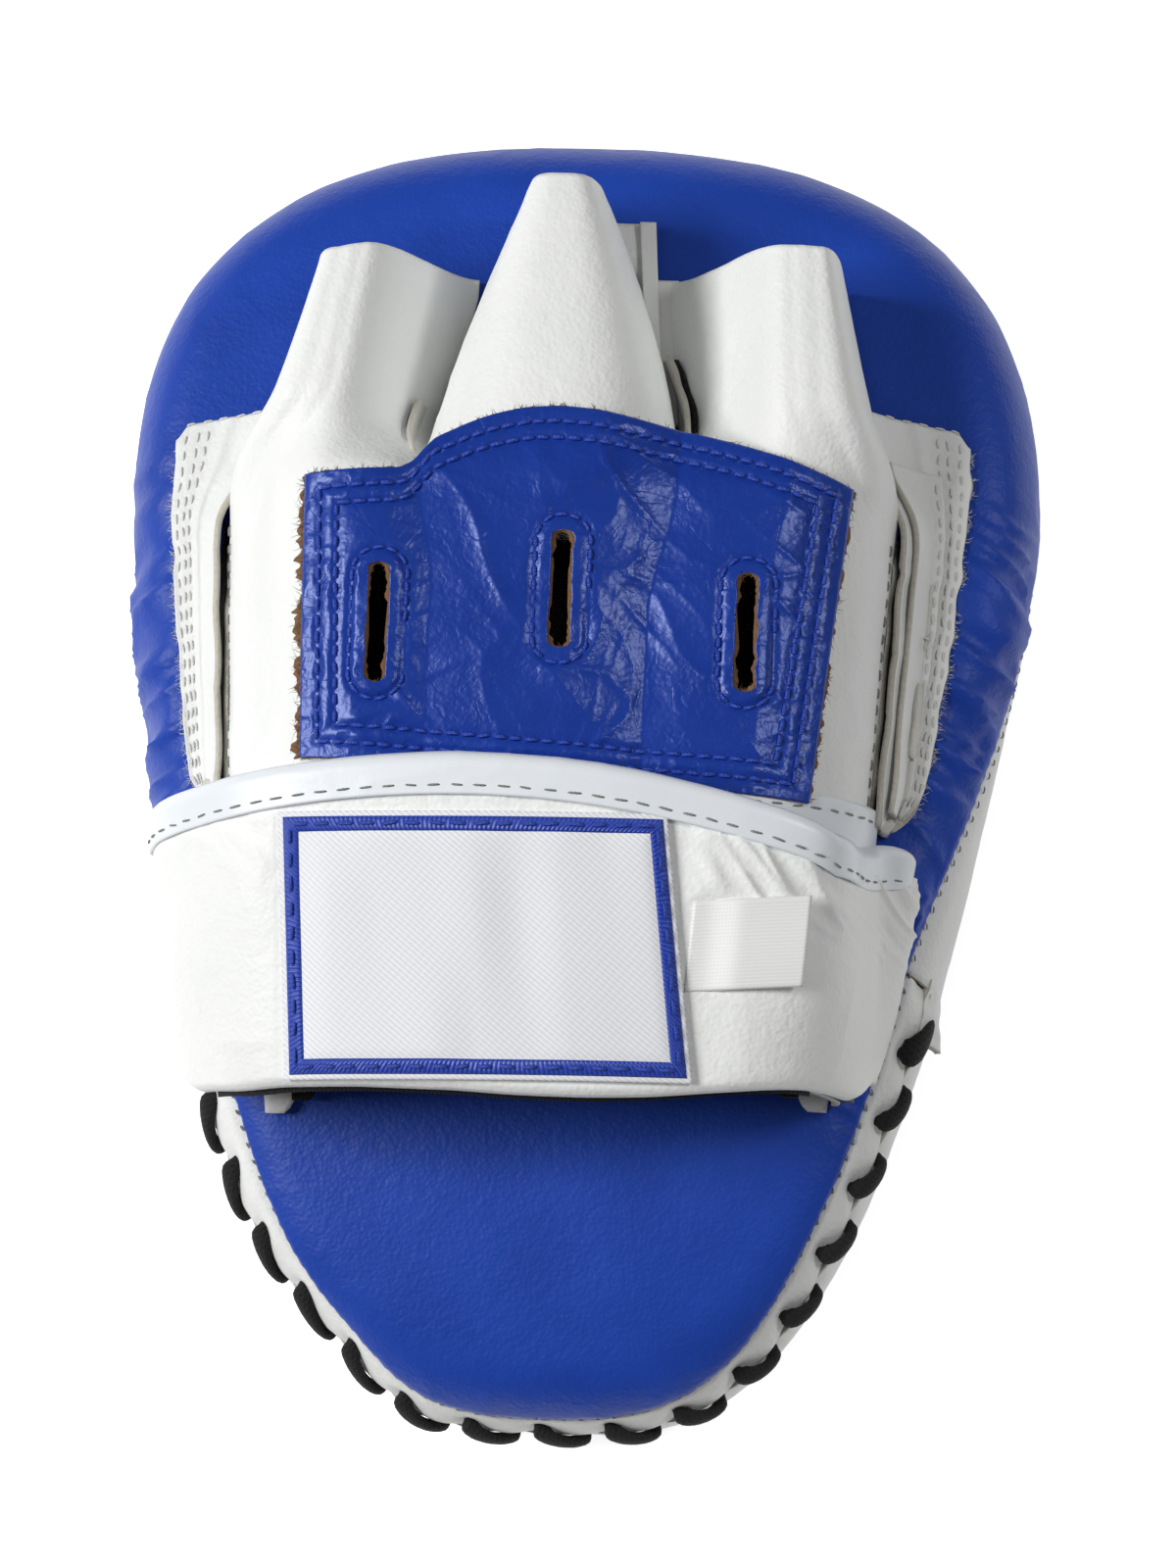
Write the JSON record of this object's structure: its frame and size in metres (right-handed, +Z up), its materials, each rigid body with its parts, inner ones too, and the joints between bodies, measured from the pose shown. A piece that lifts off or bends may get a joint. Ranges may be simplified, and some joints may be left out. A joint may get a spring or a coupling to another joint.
{
  "type": "focus mitt",
  "caption": "Curved leather focus mitt seen as a bowed pad laced shut along its wrist end, with a glove of finger tunnels and a hook-and-loop wrist strap on its back.",
  "frame": {"origin": "bottom centre of the whole part, on the surface that its striking face lies on", "axes": "+X to the right seen from the glove side, +Y towards the fingertips, +Z up, out of the glove side"},
  "size_m": [0.1894, 0.2788, 0.1077],
  "materials": {
    "blue_leather": "satin",
    "white_leather": "satin",
    "binding": "satin",
    "lace": "matte",
    "lining": "matte",
    "foam": "matte",
    "tape": "matte",
    "label": "matte"
  },
  "bodies": {
    "mitt": {"strike_panel": "blue_leather", "strike_foam": "foam", "core_foam": "foam", "back_foam": "foam", "back_panel": "blue_leather", "gusset_upper": "white_leather", "gusset_lace_back": "white_leather", "gusset_lace_front": "white_leather", "closing_lace": "lace", "palm_panel": "white_leather", "palm_lining": "lining", "flange_left": "white_leather", "flange_right": "white_leather", "seam_lining_left": "lining", "seam_lining_right": "lining", "hand_back": "white_leather", "hand_lining": "lining", "knuckle_panel": "blue_leather", "glove_hem": "white_leather", "tunnel_left": "white_leather", "tunnel_middle": "white_leather", "tunnel_right": "white_leather", "strap_anchor": "white_leather", "closure_tab": "white_leather", "loop_tape": "tape"},
    "strap": {"strap_cover": "white_leather", "strap_padding": "foam", "strap_lining": "lining", "strap_binding": "binding", "hook_tape": "tape", "label_patch": "label"},
    "tag": {"tag": "label"}
  },
  "joints": [
    {"name": "strap_peel", "type": "hinge", "parent": "mitt", "child": "strap", "pos_m": [-0.06602, -0.07437, 0.05263], "axis": [0.1603, -0.9808, -0.1111], "range_deg": [0, 100]},
    {"name": "tag_flip", "type": "hinge", "parent": "strap", "child": "tag", "pos_m": [0.03034, -0.04437, 0.10025], "axis": [-0.0685, -0.9913, -0.1123], "range_deg": [0, 140]}
  ]
}
